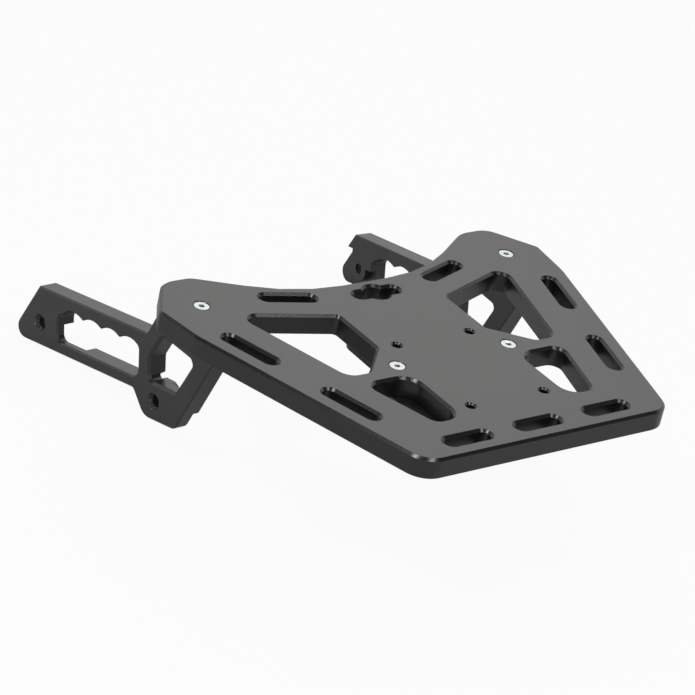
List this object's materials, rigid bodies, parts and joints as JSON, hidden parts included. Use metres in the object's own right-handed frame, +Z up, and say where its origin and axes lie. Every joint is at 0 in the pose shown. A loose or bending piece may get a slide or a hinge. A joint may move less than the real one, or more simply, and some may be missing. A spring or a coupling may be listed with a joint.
{
  "type": "motorcycle luggage rack",
  "caption": "Machined aluminium motorcycle luggage rack: a slotted flat carrier plate on splayed side arms with finger-grip windows and bolt lugs, over a centre support.",
  "frame": {"origin": "on the top face of the plate, in the middle of the four adapter holes", "axes": "+X to the right, +Y forward on the motorcycle, +Z up, square to the plate"},
  "size_m": [0.3604, 0.4256, 0.1278],
  "materials": {
    "plate_anodised": "satin anodised dark grey",
    "arm_anodised": "satin anodised dark grey",
    "support_anodised": "satin anodised black",
    "zinc_steel": "bright zinc plated"
  },
  "bodies": {
    "root": {"top_plate": "plate_anodised", "left_arm": "arm_anodised", "right_arm": "arm_anodised", "centre_support": "support_anodised", "left_arm_screw": "zinc_steel", "right_arm_screw": "zinc_steel", "left_support_screw": "zinc_steel", "right_support_screw": "zinc_steel"}
  },
  "joints": []
}
